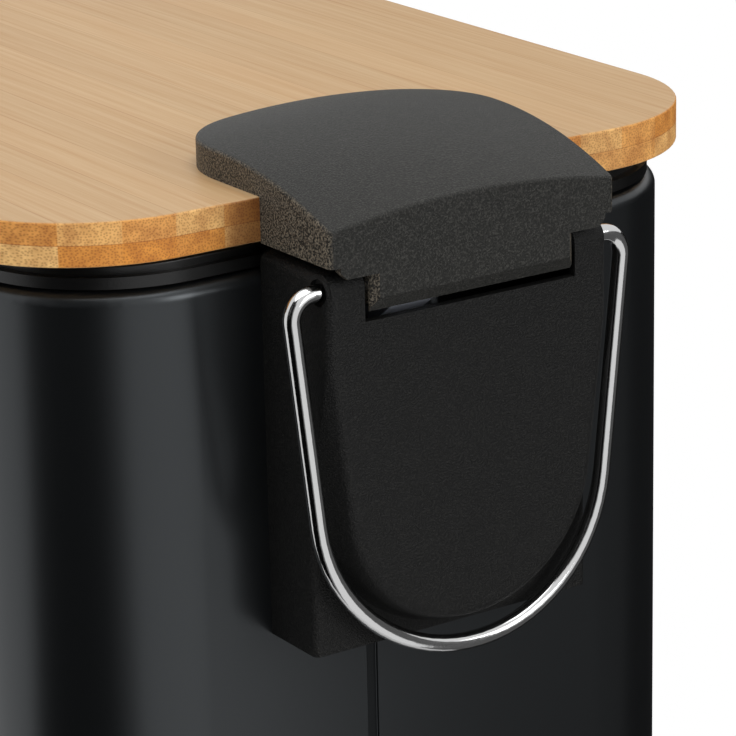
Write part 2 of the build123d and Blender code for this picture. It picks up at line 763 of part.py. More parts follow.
def make_pedal_pad():
    """Moulded foot pad with a rounded outline and grip grooves across its top."""
    low = pedal_level + pedal_plate
    pad = slab(pad_width, pad_depth, pad_corner, low, low + pad_height, y=pad_front() + pad_depth / 2)
    pad = fillet(pad.faces().sort_by(Axis.Z)[-1].edges(), 1.5)
    count = 4
    for index in range(count):
        y = pad_front() + pad_depth / 2 + (index - (count - 1) / 2) * pad_groove_pitch
        pad = pad - rod_along_x(pad_groove / 2, -pad_width * 0.38, pad_width * 0.38, y, low + pad_height)
    for y in pad_rivet_places():
        pad = pad - rod_along_z(rivet_radius + screw_hole_clearance, 0, y, low - 1, low + 3)
    return pad


def make_pad_rivets():
    """Rivets from below, up into the pad."""
    rivets = []
    for y in pad_rivet_places():
        head = Pos(0, y, pedal_level) * Rot(180, 0, 0) * pan_head(rivet_head_radius, rivet_head_height)
        rivets.append(head + rod_along_z(rivet_radius, 0, y, pedal_level, pedal_level + pedal_plate + 2.5))
    return Compound(children=rivets)


def make_pedal_bracket():
    """Steel U under the floor plate, with an ear on each side of the lever."""
    inner = pedal_width / 2 + bracket_gap
    outer = inner + bracket_plate
    low = pedal_pivot_z - bracket_ear_below
    top = block(-outer, outer, pedal_pivot_y - bracket_half_length, pedal_pivot_y + bracket_half_length,
                floor_height - bracket_plate, floor_height)
    ear = side_plate([
        (pedal_pivot_y - bracket_ear_half_length - 3, floor_height - bracket_plate),
        (pedal_pivot_y - bracket_ear_half_length + 3, low),
        (pedal_pivot_y + bracket_ear_half_length - 3, low),
        (pedal_pivot_y + bracket_ear_half_length + 3, floor_height - bracket_plate),
    ], inner, outer)
    bracket = top + mirrored(ear)
    bracket = bracket - rod_along_x(pedal_axle_radius + running_clearance, -outer - 1, outer + 1,
                                    pedal_pivot_y, pedal_pivot_z)
    for y in bracket_rivet_places():
        bracket = bracket - rod_along_z(rivet_radius + screw_hole_clearance, 0, y,
                                        floor_height - 5, floor_height + 1)
    return bracket


def make_pedal_axle():
    """Steel axle through the bracket's and the lever's ears."""
    half = pedal_width / 2 + bracket_gap + bracket_plate + axle_overhang
    axle = rod_along_x(pedal_axle_radius, -half, half, pedal_pivot_y, pedal_pivot_z)
    return chamfer(axle.edges().filter_by(GeomType.CIRCLE), 0.4)


def make_bracket_rivets():
    """Rivets through the floor plate and the bracket, headed on both sides."""
    rivets = []
    low = floor_height - bracket_plate
    high = floor_height + sheet
    for y in bracket_rivet_places():
        top = Pos(0, y, high) * pan_head(rivet_head_radius, bucket_floor_gap * 0.7)
        under = Pos(0, y, low) * Rot(180, 0, 0) * pan_head(rivet_head_radius, rivet_head_height)
        rivets.append(top + under + rod_along_z(rivet_radius, 0, y, low, high))
    return Compound(children=rivets)


# Bucket

def tapered(top_inset, top_corner, foot_inset_value, foot_corner, low, high):
    """A tapered rounded box between two of the body's insets."""
    foot = Plane.XY.offset(low) * RectangleRounded(
        body_width - 2 * foot_inset_value, body_depth - 2 * foot_inset_value, foot_corner)
    top = Plane.XY.offset(high) * RectangleRounded(
        body_width - 2 * top_inset, body_depth - 2 * top_inset, top_corner)
    return loft([foot, top], ruled=True)


def make_inner_bucket():
    """Moulded bucket: drafted walls, a rim with a turned-down skirt and two handle lugs."""
    low = floor_height + sheet + bucket_floor_gap
    shell = tapered(bucket_inset, bucket_corner, bucket_foot_inset, bucket_foot_corner, low, bucket_top)
    shell = fillet(shell.faces().sort_by(Axis.Z)[0].edges(), 5.0)
    hollow = tapered(bucket_inset + bucket_wall, bucket_corner - bucket_wall,
                     bucket_foot_inset + bucket_wall, bucket_foot_corner - bucket_wall,
                     low + bucket_wall, bucket_top + 0.01)
    rim_corner = body_corner - bucket_rim_inset
    rim = slab(body_width - 2 * bucket_rim_inset, body_depth - 2 * bucket_rim_inset, rim_corner,
               bucket_top - bucket_rim_skirt, bucket_top)
    rim = fillet(rim.faces().sort_by(Axis.Z)[-1].edges(), 1.2)
    skirt_room = slab(body_width - 2 * bucket_rim_inset - 2 * bucket_wall,
                      body_depth - 2 * bucket_rim_inset - 2 * bucket_wall, rim_corner - bucket_wall,
                      bucket_top - bucket_rim_skirt, bucket_top - bucket_wall)
    bucket = rim - skirt_room + shell - hollow
    inner_face = body_width / 2 - bucket_inset - bucket_wall
    lug_top = bucket_top + handle_clearance + 2 * handle_radius + 2
    lug = block(inner_face, inner_face + bucket_lug_width, -bucket_lug_half_length,
                bucket_lug_half_length, bucket_top - 8, lug_top)
    lug = fillet(lug.edges().filter_by(Axis.X).group_by(Axis.Z)[-1], 3.0)
    bucket = bucket + mirrored(lug)
    pivot_z = bucket_top + handle_clearance + handle_radius
    return bucket - rod_along_x(handle_radius + handle_clearance, -body_width / 2, body_width / 2,
                                0, pivot_z)


def make_bucket_handle():
    """Steel wire handle, folded down along the back half of the bucket's rim."""
    z = bucket_top + handle_clearance + handle_radius
    x = body_width / 2 - bucket_rim_inset - handle_inset
    y = back - bucket_rim_inset - handle_inset
    end = body_width / 2 - bucket_inset - bucket_wall - 1.2
    path = FilletPolyline((end, 0, z), (x, 0, z), (x, y, z), (-x, y, z), (-x, 0, z), (-end, 0, z),
                          radius=[handle_radius * 1.2, handle_corner, handle_corner, handle_radius * 1.2])
    return wire(path, handle_radius)


makers = {
    "body_shell": make_body_shell,
    "bottom_plate": make_bottom_plate,
    "rim_ring": make_rim_ring,
    "base_ring": make_base_ring,
    "rubber_feet": make_rubber_feet,
    "hinge_housing": make_hinge_housing,
    "housing_screws": make_housing_screws,
    "hinge_pin": make_hinge_pin,
    "rod_guides": make_rod_guides,
    "pedal_bracket": make_pedal_bracket,
    "pedal_axle": make_pedal_axle,
    "bracket_rivets": make_bracket_rivets,
    "lid_board": make_lid_board,
    "hinge_cap": make_hinge_cap,
    "lid_screws": make_lid_screws,
    "lid_bumpers": make_lid_bumpers,
    "lift_lever": make_lift_lever,
    "lever_screw": make_lever_screw,
    "lift_rod": make_lift_rod,
    "pedal_lever": make_pedal_lever,
    "pedal_pad": make_pedal_pad,
    "pad_rivets": make_pad_rivets,
    "carry_bail": make_carry_bail,
    "inner_bucket": make_inner_bucket,
    "bucket_handle": make_bucket_handle,
}

os.makedirs("parts", exist_ok=True)
for node, maker in makers.items():
    export_step(maker(), f"parts/{node}.step")
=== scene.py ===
import json
from math import cos, radians, sin, tan

import bmesh
import bpy
from mathutils import Matrix, Vector


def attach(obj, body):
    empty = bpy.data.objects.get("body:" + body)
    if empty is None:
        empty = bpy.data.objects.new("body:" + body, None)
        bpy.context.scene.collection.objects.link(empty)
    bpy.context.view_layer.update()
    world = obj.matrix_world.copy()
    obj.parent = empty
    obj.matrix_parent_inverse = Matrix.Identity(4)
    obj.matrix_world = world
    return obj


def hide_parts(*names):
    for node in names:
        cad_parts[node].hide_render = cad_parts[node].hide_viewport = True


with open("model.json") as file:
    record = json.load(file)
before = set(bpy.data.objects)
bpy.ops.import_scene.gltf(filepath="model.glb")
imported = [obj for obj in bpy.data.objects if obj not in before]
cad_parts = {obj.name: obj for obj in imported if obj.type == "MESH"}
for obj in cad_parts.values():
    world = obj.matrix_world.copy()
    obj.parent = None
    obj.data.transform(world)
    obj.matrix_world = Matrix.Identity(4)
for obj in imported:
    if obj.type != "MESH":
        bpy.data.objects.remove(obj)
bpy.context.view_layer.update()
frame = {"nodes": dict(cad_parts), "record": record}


# The photographer's place: a long lens looks down past a back corner of the bin, and is rolled a
# little about its own line. Its angles and distance were solved from edges in the photograph.
camera_yaw = radians(33.45)
camera_pitch = radians(18.11)
camera_roll = radians(-1.28)
camera_distance = 0.79565
camera_slide = (-0.00844, -0.04604)
lid_top_rear = Vector((0, 0.1215, 0.285))
sensor_width = 36.0
lens_length = 168.43
nearest_seen = 0.01

toward_camera = Vector((
    sin(camera_yaw) * cos(camera_pitch),
    cos(camera_yaw) * cos(camera_pitch),
    sin(camera_pitch),
))
level_right = Vector((0, 0, 1)).cross(toward_camera).normalized()
level_up = toward_camera.cross(level_right)
picture_right = cos(camera_roll) * level_right + sin(camera_roll) * level_up
picture_up = -sin(camera_roll) * level_right + cos(camera_roll) * level_up
camera_place = (lid_top_rear + toward_camera * camera_distance
                + picture_right * camera_slide[0] + picture_up * camera_slide[1])

lens = bpy.data.cameras.new("studio_camera")
lens.lens = lens_length
lens.sensor_width = sensor_width
lens.clip_start = nearest_seen
camera = bpy.data.objects.new("studio_camera", lens)
bpy.context.scene.collection.objects.link(camera)
camera.matrix_world = Matrix((
    (picture_right.x, picture_up.x, toward_camera.x, camera_place.x),
    (picture_right.y, picture_up.y, toward_camera.y, camera_place.y),
    (picture_right.z, picture_up.z, toward_camera.z, camera_place.z),
    (0, 0, 0, 1),
))
bpy.context.scene.camera = camera
bpy.context.scene.view_settings.view_transform = "Standard"


# Paper sweep and room: matt white paper that reaches past the picture on all sides. It keeps the
# bin's shadow near it, and runs out into plain white further off for the camera and for gloss.
sweep_half = 4.0
shadow_reach = 0.15
white_from = 0.25
room_level = 0.25


def linear(hex_colour):
    """An sRGB hex colour as linear red, green, blue and alpha."""
    channels = [int(hex_colour[i:i + 2], 16) / 255 for i in (1, 3, 5)]
    return [c / 12.92 if c <= 0.04045 else ((c + 0.055) / 1.055) ** 2.4 for c in channels] + [1.0]


def add_node(tree, kind, settings=None, inputs=None):
    """Adds a node, sets its properties, and fills or links its inputs."""
    node = tree.nodes.new(kind)
    for name, value in (settings or {}).items():
        setattr(node, name, value)
    for name, value in (inputs or {}).items():
        sources = value if isinstance(value, list) else [value]
        if isinstance(sources[0], bpy.types.NodeSocket):
            for source in sources:
                tree.links.new(source, node.inputs[name])
        else:
            node.inputs[name].default_value = value
    return node


def new_material(name):
    """An empty material with its Principled shader and output, as (material, tree, shader)."""
    material = bpy.data.materials.new(name)
    material.use_nodes = True
    tree = material.node_tree
    return material, tree, tree.nodes["Principled BSDF"]


def seen_white(tree, lit, output, share=None):
    """Shows plain white to the camera, to gloss and to glass, and the lit shader to other rays."""
    rays = add_node(tree, "ShaderNodeLightPath")
    shown = add_node(tree, "ShaderNodeMath", {"operation": "MAXIMUM"}, {
        0: rays.outputs["Is Camera Ray"], 1: rays.outputs["Is Glossy Ray"]})
    shown = add_node(tree, "ShaderNodeMath", {"operation": "MAXIMUM"}, {
        0: shown.outputs["Value"], 1: rays.outputs["Is Transmission Ray"]})
    if share is not None:
        shown = add_node(tree, "ShaderNodeMath", {"operation": "MULTIPLY"}, {
            0: shown.outputs["Value"], 1: share})
    glow = "ShaderNodeEmission" if output.name == "Material Output" else "ShaderNodeBackground"
    white = add_node(tree, glow, inputs={"Color": linear("#FFFFFF"), "Strength": 1.0})
    mix = add_node(tree, "ShaderNodeMixShader", inputs={
        0: shown.outputs["Value"], 1: lit, 2: white.outputs[0]})
    tree.links.new(mix.outputs["Shader"], output.inputs["Surface"])


def link_mesh(name, mesh):
    """A new object for a mesh, in the scene."""
    piece = bpy.data.objects.new(name, mesh)
    bpy.context.scene.collection.objects.link(piece)
    return piece


paper, paper_tree, paper_shader = new_material("matt_white_paper")
paper_shader.inputs["Base Color"].default_value = linear("#F4F4F4")
paper_shader.inputs["Roughness"].default_value = 0.9
paper_shader.inputs["Specular IOR Level"].default_value = 0.1
paper_place = add_node(paper_tree, "ShaderNodeTexCoord")
paper_reach = add_node(paper_tree, "ShaderNodeVectorMath", {"operation": "LENGTH"}, {
    0: paper_place.outputs["Object"]})
paper_share = add_node(paper_tree, "ShaderNodeMapRange", {"interpolation_type": "SMOOTHSTEP"}, {
    "Value": paper_reach.outputs["Value"], "From Min": shadow_reach, "From Max": white_from})
seen_white(paper_tree, paper_shader.outputs["BSDF"], paper_tree.nodes["Material Output"],
           paper_share.outputs["Result"])
floor_mesh = bpy.data.meshes.new("paper_floor")
floor_mesh.from_pydata(
    [(-sweep_half, -sweep_half, 0), (sweep_half, -sweep_half, 0),
     (sweep_half, sweep_half, 0), (-sweep_half, sweep_half, 0)], [], [(0, 1, 2, 3)])
floor = link_mesh("paper_floor", floor_mesh)
floor.data.materials.append(paper)

world = bpy.data.worlds.new("studio_room")
bpy.context.scene.world = world
world.use_nodes = True
room_light = world.node_tree.nodes["Background"]
room_light.inputs["Color"].default_value = linear("#FFFFFF")
room_light.inputs["Strength"].default_value = room_level
seen_white(world.node_tree, room_light.outputs["Background"],
           world.node_tree.nodes["World Output"])


# Softboxes and cloths: one lamp over the bin, one out at its side and one behind it. Black, grey
# and dark cloths lie on the floor and rise as walls round it. Only gloss shows the cloths, as the
# dark parts of the paint, plastic and wire.
bin_middle = (0, 0, 0.2)


def softbox(name, place, width, height, power):
    """A rectangular lamp at a place, turned to face the middle of the bin."""
    lamp = bpy.data.lights.new(name, "AREA")
    lamp.shape = "RECTANGLE"
    lamp.size = width
    lamp.size_y = height
    lamp.energy = power
    holder = bpy.data.objects.new(name, lamp)
    holder.location = place
    facing = Vector(place) - Vector(bin_middle)
    holder.rotation_euler = facing.to_track_quat("Z", "Y").to_euler()
    bpy.context.scene.collection.objects.link(holder)


def hung_cloth(name, tone, centre, bearings, reach, height, lift, steps=24):
    """A sector of cloth on the floor that rises as a wall at its far edge, seen by gloss only."""
    profile = [(reach[0], lift), (reach[1], lift), (reach[1], height)]
    rows = len(profile)
    points = []
    faces = []
    for step in range(steps + 1):
        bearing = radians(bearings[0] + (bearings[1] - bearings[0]) * step / steps)
        for distance, level in profile:
            points.append((centre[0] + distance * cos(bearing),
                           centre[1] + distance * sin(bearing), level))
    for step in range(steps):
        for row in range(rows - 1):
            first = step * rows + row
            faces.append((first, first + rows, first + rows + 1, first + 1))
    mesh = bpy.data.meshes.new(name)
    mesh.from_pydata(points, [], faces)
    cloth = link_mesh(name, mesh)
    felt, felt_tree, _ = new_material(name + "_felt")
    glow = add_node(felt_tree, "ShaderNodeEmission", inputs={
        "Color": linear(tone), "Strength": 1.0})
    felt_tree.links.new(glow.outputs["Emission"],
                        felt_tree.nodes["Material Output"].inputs["Surface"])
    mesh.materials.append(felt)
    cloth.visible_camera = False
    cloth.visible_diffuse = False
    cloth.visible_shadow = False
    cloth.visible_transmission = False


for lamp_name, lamp_place, lamp_width, lamp_height, lamp_power in (
        ("overhead_softbox", (0.1, 0.2, 1.6), 1.4, 1.4, 14),
        ("left_softbox", (1.45, 0.55, 0.9), 0.8, 0.8, 5),
        ("back_softbox", (-0.7, 1.75, 0.75), 1.1, 0.9, 13)):
    softbox(lamp_name, lamp_place, lamp_width, lamp_height, lamp_power)
for cloth_name, cloth_tone, cloth_centre, cloth_bearings, cloth_reach, cloth_top, cloth_lift in (
        ("black_cloth", "#0A0A0A", (0, 0), (4, 55), (0.2, 1.05), 1.8, 0.002),
        ("side_cloth", "#8A8A8A", (0, 0), (55, 64), (0.2, 1.05), 0.9, 0.002),
        ("grey_cloth", "#626262", (0, 0.13), (119, 166), (0.08, 1.3), 0.6, 0.004),
        ("dark_cloth", "#202020", (0, 0.13), (166, 240), (0.08, 1.3), 0.5, 0.004)):
    hung_cloth(cloth_name, cloth_tone, cloth_centre, cloth_bearings, cloth_reach, cloth_top,
               cloth_lift)


# Body: cold-rolled steel sheet, rolled to a rounded box, closed with a flat lock seam at the
# back and powder coated. The baked powder leaves a satin skin with a very faint orange peel.
peel_size = 0.0016
peel_depth = 0.0002
body_back = 0.120
seam_middle = 0.011
seam_half = 0.0017
seam_depth = 0.0004
seam_tilt = -0.9
weld_reach = 1e-6


def baked(source, name):
    """A plain mesh of an object with its modifiers applied; the object itself is removed."""
    depsgraph = bpy.context.evaluated_depsgraph_get()
    mesh = bpy.data.meshes.new_from_object(source.evaluated_get(depsgraph), depsgraph=depsgraph)
    mesh.name = name
    bpy.data.objects.remove(source)
    return mesh


def stands_for(piece, node_name):
    """Lets a piece ride with a node's body and show in its place."""
    record = frame["record"]
    body = next(b for b, members in record["behaviour"]["bodies"].items() if node_name in members)
    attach(piece, body)
    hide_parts(node_name)


def dressed(node_name, material, sharp_angle=32.0, reshape=None):
    """A merged copy of a node's mesh, shaded smooth with its large faces kept flat."""
    mesh = frame["nodes"][node_name].data.copy()
    shape = bmesh.new()
    shape.from_mesh(mesh)
    bmesh.ops.remove_doubles(shape, verts=shape.verts, dist=weld_reach)
    if reshape:
        for vertex in shape.verts:
            vertex.co = reshape(vertex.co)
    shape.to_mesh(mesh)
    shape.free()
    mesh.attributes.remove(mesh.attributes["custom_normal"])
    mesh.shade_smooth()
    mesh.set_sharp_from_angle(angle=radians(sharp_angle))
    mesh.materials.clear()
    mesh.materials.append(material)
    draft = link_mesh(node_name + "_draft", mesh)
    weights = draft.modifiers.new("weights", "WEIGHTED_NORMAL")
    weights.mode = "FACE_AREA_WITH_ANGLE"
    weights.keep_sharp = True
    finished = baked(draft, node_name + "_finished")
    stands_for(link_mesh(node_name + "_finished", finished), node_name)


def tilted_seam(place):
    """The seam's hook lies deeper on one side: its groove tilts, and its walls follow."""
    depth = body_back - place.y
    across = (place.x - seam_middle) / seam_half
    if abs(across) > 1.0 or not 0 < depth < seam_depth:
        return place
    return Vector((place.x, body_back - depth * (1 + seam_tilt * across), place.z))


def noise_on(tree, place, size, detail, roughness=0.5):
    """Noise over a place in metres, whose coarsest grain has a real size."""
    return add_node(tree, "ShaderNodeTexNoise", inputs={
        "Vector": place, "Scale": 1 / size, "Detail": detail,
        "Roughness": roughness}).outputs["Fac"]


def bump_on(tree, shader, height, strength, distance):
    """Raises a shader's surface by a height, up to a real depth."""
    bump = add_node(tree, "ShaderNodeBump", inputs={
        "Height": height, "Strength": strength, "Distance": distance})
    tree.links.new(bump.outputs["Normal"], shader.inputs["Normal"])


powder_coat, coat_tree, coat_shader = new_material("satin_black_powder_coat")
coat_shader.inputs["Base Color"].default_value = linear("#0D0E0F")
coat_shader.inputs["Roughness"].default_value = 0.3
coat_shader.inputs["IOR"].default_value = 1.58
coat_shader.inputs["Specular Tint"].default_value = linear("#EEF5FA")
coat_place = add_node(coat_tree, "ShaderNodeTexCoord")
coat_peel = noise_on(coat_tree, coat_place.outputs["Object"], peel_size, 2.0, 0.4)
bump_on(coat_tree, coat_shader, coat_peel, 0.04, peel_depth)
dressed("body_shell", powder_coat, reshape=tilted_seam)
dressed("bottom_plate", powder_coat)


# Rim ring and base ring: injection-moulded polypropylene, pressed on the sheet's two edges. The
# mould is finely spark eroded, so the plastic is matt. Its grain is drawn coarser than the real
# pits, so that it shows.
pit_level = 0.46
peak_level = 0.70


def tone_between(tree, source, low, high, dark, pale):
    """A colour that runs from one tone to another as a value rises."""
    ramp = add_node(tree, "ShaderNodeValToRGB", inputs={"Fac": source})
    ramp.color_ramp.elements[0].position = low
    ramp.color_ramp.elements[0].color = linear(dark)
    ramp.color_ramp.elements[1].position = high
    ramp.color_ramp.elements[1].color = linear(pale)
    return ramp.outputs["Color"]


def moulding(name, dark, pale, grain_size, grain_depth, roughness, gloss=0.5):
    """Plastic from a spark-eroded mould: fine pitted grain in its height and its colour."""
    material, tree, shader = new_material(name)
    place = add_node(tree, "ShaderNodeTexCoord")
    grain = noise_on(tree, place.outputs["Object"], grain_size, 2.0, 0.6)
    tone = tone_between(tree, grain, pit_level, peak_level, dark, pale)
    bump_on(tree, shader, grain, 1.0, grain_depth)
    tree.links.new(tone, shader.inputs["Base Color"])
    shader.inputs["Roughness"].default_value = roughness
    shader.inputs["Specular IOR Level"].default_value = gloss
    return material


fine_moulding = moulding("fine_black_polypropylene", "#050505", "#0C0C0C",
                         grain_size=0.0004, grain_depth=0.00004, roughness=0.34, gloss=0.4)
dressed("rim_ring", fine_moulding)
dressed("base_ring", fine_moulding)


# Hinge housing: the same plastic from a coarser mould, open towards the body, screwed on from
# inside. Its shield-shaped panel stands proud at the back, and its top is notched for the cap.
# The real pits are about 0.2 mm wide and are drawn twice as coarse, so that they show.
coarse_moulding = moulding("textured_black_polypropylene", "#040404", "#1F1F1D",
                           grain_size=0.0004, grain_depth=0.0004, roughness=0.55, gloss=0.23)
dressed("hinge_housing", coarse_moulding, sharp_angle=25.0)


# Hinge pin and pedal steel: a plain pin across the housing, and the pedal's lever, bracket and
# axle of pressed strip and rod. All are zinc plated, bluish grey with faint clouds of dullness.
zinc_cloud_size = 0.004

zinc, zinc_tree, zinc_shader = new_material("bright_zinc_plate")
zinc_shader.inputs["Base Color"].default_value = linear("#B4B8BE")
zinc_shader.inputs["Metallic"].default_value = 1.0
zinc_place = add_node(zinc_tree, "ShaderNodeTexCoord")
zinc_cloud = noise_on(zinc_tree, zinc_place.outputs["Object"], zinc_cloud_size, 3.0)
zinc_gloss = add_node(zinc_tree, "ShaderNodeMapRange", inputs={
    "Value": zinc_cloud, "To Min": 0.28, "To Max": 0.42})
zinc_tree.links.new(zinc_gloss.outputs["Result"], zinc_shader.inputs["Roughness"])
for steel_node in ("hinge_pin", "pedal_bracket", "pedal_axle", "pedal_lever"):
    dressed(steel_node, zinc)


# Lift lever: a bent steel channel on the hinge pin, screwed under the cap, which the lift rod
# pushes up. It is drawn as a pale, dull zinc flake coat that hardly mirrors the notch; its
# paleness is a painted reflection of the light the lever catches there.
pale_lever_coat, _, pale_lever_shader = new_material("pale_zinc_coat_with_painted_reflection")
# Painted reflection: the pale base colour stands in for the light the lever catches in the notch.
pale_lever_shader.inputs["Base Color"].default_value = linear("#DDE2F0")
pale_lever_shader.inputs["Metallic"].default_value = 0.2
pale_lever_shader.inputs["Roughness"].default_value = 0.55
dressed("lift_lever", pale_lever_coat)


# Rod guides and pedal pad: moulded polypropylene. The guides are saddles on the body's back wall
# that the rod slides in. The pad is riveted on the pedal's strip and has the housing's grain.
dressed("rod_guides", fine_moulding)
dressed("pedal_pad", coarse_moulding)


# Screws: steel, zinc plated, with a rolled thread and a cross recess in a pan head. Four hold the
# board to the cap, four the housing to the body, and a smaller one the lever to the cap.
thread_pitch = 0.0011
thread_ridge = 0.00022
plain_turns = 0.6
screw_radius = 0.00175
recess_reach = 1.1
recess_width = 0.26
recess_height = 1.1
head_edge_angle = 40.0
down = (0.0, 0.0, 0.0)
inward = (radians(-90), 0.0, 0.0)
board_seat = 0.2773
board_screw_x = 0.024
board_screw_rows = (0.0895, 0.1125)
wall_inside = 0.1193
boss_x = 0.027
boss_levels = (0.2318, 0.1888)
lever_screw_place = (0.0125, 0.143, 0.2764)


def shape_tree(name, sockets):
    """An empty geometry nodes tree with named inputs, as (tree, inputs)."""
    tree = bpy.data.node_groups.new(name, "GeometryNodeTree")
    for label, kind in sockets.items():
        tree.interface.new_socket(label, in_out="INPUT", socket_type="NodeSocket" + kind)
    tree.interface.new_socket("Shape", in_out="OUTPUT", socket_type="NodeSocketGeometry")
    return tree, add_node(tree, "NodeGroupInput").outputs


def end_tree(tree, shape, finish):
    """Makes what a tree draws real, gives it its material and puts it out."""
    real = add_node(tree, "GeometryNodeRealizeInstances", inputs={"Geometry": shape})
    coated = add_node(tree, "GeometryNodeSetMaterial", inputs={
        "Geometry": real.outputs["Geometry"], "Material": finish})
    add_node(tree, "NodeGroupOutput", inputs={"Shape": coated.outputs["Geometry"]})
    return tree


def sum_of(tree, operation, first, second):
    """One arithmetic step between two sockets or numbers."""
    return add_node(tree, "ShaderNodeMath", {"operation": operation}, {
        0: first, 1: second}).outputs["Value"]


def moved(tree, shape, **axes):
    """A shape moved along the named axes."""
    shift = add_node(tree, "ShaderNodeCombineXYZ", inputs=axes)
    return add_node(tree, "GeometryNodeTransform", inputs={
        "Geometry": shape, "Translation": shift.outputs["Vector"]}).outputs["Geometry"]


def dome(tree, radius, height, fullness=3.2):
    """A flat-bottomed head that rises downwards (-Z) from the origin, fuller than a half ball."""
    ball = add_node(tree, "GeometryNodeMeshUVSphere", inputs={
        "Segments": 32, "Rings": 20, "Radius": 1.0})
    place = add_node(tree, "GeometryNodeInputPosition")
    axes = add_node(tree, "ShaderNodeSeparateXYZ", inputs={0: place.outputs["Position"]}).outputs
    square = sum_of(tree, "ADD", sum_of(tree, "MULTIPLY", axes["X"], axes["X"]),
                    sum_of(tree, "MULTIPLY", axes["Y"], axes["Y"]))
    reach = sum_of(tree, "MINIMUM", sum_of(tree, "POWER", square, 0.5), 1.0)
    fall = sum_of(tree, "SUBTRACT", 1.0, sum_of(tree, "POWER", reach, fullness))
    rise = sum_of(tree, "POWER", fall, 1 / fullness)
    below = sum_of(tree, "LESS_THAN", axes["Z"], 0.0)
    drop = sum_of(tree, "MULTIPLY", sum_of(tree, "MULTIPLY", rise, below),
                  sum_of(tree, "MULTIPLY", height, -1.0))
    drawn_out = add_node(tree, "ShaderNodeCombineXYZ", inputs={
        "X": sum_of(tree, "MULTIPLY", axes["X"], radius),
        "Y": sum_of(tree, "MULTIPLY", axes["Y"], radius), "Z": drop})
    return add_node(tree, "GeometryNodeSetPosition", inputs={
        "Geometry": ball.outputs["Mesh"],
        "Position": drawn_out.outputs["Vector"]}).outputs["Geometry"]


def post(tree, radius, length, sides=24):
    """A round post from the origin up."""
    cylinder = add_node(tree, "GeometryNodeMeshCylinder", inputs={
        "Vertices": sides, "Radius": radius, "Depth": length})
    return moved(tree, cylinder.outputs["Mesh"], Z=sum_of(tree, "MULTIPLY", length, 0.5))


def screw_tree():
    """Geometry nodes that set a screw on each point; the recess is sized in shares of the head."""
    tree, given = shape_tree("pan_head_screw", {
        "Places": "Geometry", "Turn": "Vector", "Shank Radius": "Float", "Head Radius": "Float",
        "Head Height": "Float", "Length": "Float", "Pitch": "Float", "Ridge": "Float",
        "Finish": "Material"})
    head = dome(tree, given["Head Radius"], given["Head Height"])
    arm = sum_of(tree, "MULTIPLY", given["Head Radius"], recess_reach)
    slit = sum_of(tree, "MULTIPLY", given["Head Radius"], recess_width)
    deep = sum_of(tree, "MULTIPLY", given["Head Height"], recess_height)
    middle = sum_of(tree, "MULTIPLY", given["Head Height"], -1.0)
    for along, across in (("X", "Y"), ("Y", "X")):
        size = add_node(tree, "ShaderNodeCombineXYZ", inputs={along: arm, across: slit, "Z": deep})
        cutter = add_node(tree, "GeometryNodeMeshCube", inputs={"Size": size.outputs["Vector"]})
        placed = moved(tree, cutter.outputs["Mesh"], Z=middle)
        head = add_node(tree, "GeometryNodeMeshBoolean", {"operation": "DIFFERENCE"}, {
            "Mesh 1": head, "Mesh 2": placed}).outputs["Mesh"]
    core_radius = sum_of(tree, "SUBTRACT", given["Shank Radius"], given["Ridge"])
    core = post(tree, core_radius, given["Length"])
    run = sum_of(tree, "SUBTRACT", given["Length"],
                 sum_of(tree, "MULTIPLY", given["Pitch"], 2 * plain_turns))
    helix = add_node(tree, "GeometryNodeCurveSpiral", inputs={
        "Resolution": 20, "Rotations": sum_of(tree, "DIVIDE", run, given["Pitch"]),
        "Start Radius": core_radius, "End Radius": core_radius, "Height": run})
    ridge_line = add_node(tree, "GeometryNodeCurvePrimitiveCircle", {"mode": "RADIUS"}, {
        "Resolution": 6, "Radius": given["Ridge"]})
    ridge = add_node(tree, "GeometryNodeCurveToMesh", inputs={
        "Curve": helix.outputs["Curve"], "Profile Curve": ridge_line.outputs["Curve"],
        "Fill Caps": True})
    thread = moved(tree, ridge.outputs["Mesh"],
                   Z=sum_of(tree, "MULTIPLY", given["Pitch"], plain_turns))
    screw = add_node(tree, "GeometryNodeJoinGeometry", inputs={"Geometry": [head, core, thread]})
    spread = add_node(tree, "GeometryNodeInstanceOnPoints", inputs={
        "Points": given["Places"], "Instance": screw.outputs["Geometry"],
        "Rotation": given["Turn"]})
    return end_tree(tree, spread.outputs["Instances"], given["Finish"])


def set_inputs(modifier, values):
    """Fills a geometry nodes modifier's inputs by their names."""
    for item in modifier.node_group.interface.items_tree:
        if item.item_type == "SOCKET" and item.in_out == "INPUT" and item.name in values:
            modifier[item.identifier] = values[item.name]


def fasteners(node_name, tree, places, values):
    """A node's like fasteners: one drawn on each place by a tree, as one plain mesh."""
    mesh = bpy.data.meshes.new(node_name + "_places")
    mesh.from_pydata(places, [], [])
    draft = link_mesh(node_name + "_places", mesh)
    modifier = draft.modifiers.new("fasteners", "NODES")
    modifier.node_group = tree
    set_inputs(modifier, values)
    drawn = baked(draft, node_name + "_drawn")
    drawn.shade_smooth()
    drawn.set_sharp_from_angle(angle=radians(head_edge_angle))
    stands_for(link_mesh(node_name + "_drawn", drawn), node_name)


pan_head_screw = screw_tree()
screw_sizes = {
    "Shank Radius": screw_radius, "Head Radius": 0.0036, "Head Height": 0.0024,
    "Pitch": thread_pitch, "Ridge": thread_ridge, "Finish": zinc,
}
fasteners("lid_screws", pan_head_screw,
          [(x, y, board_seat) for x in (-board_screw_x, board_screw_x) for y in board_screw_rows],
          {**screw_sizes, "Turn": down, "Length": 0.0127})
fasteners("housing_screws", pan_head_screw,
          [(x, wall_inside, z) for x in (-boss_x, boss_x) for z in boss_levels],
          {**screw_sizes, "Turn": inward, "Length": 0.0077})
fasteners("lever_screw", pan_head_screw, [lever_screw_place],
          {**screw_sizes, "Turn": down, "Length": 0.0049,
           "Head Radius": 0.0026, "Head Height": 0.0018})


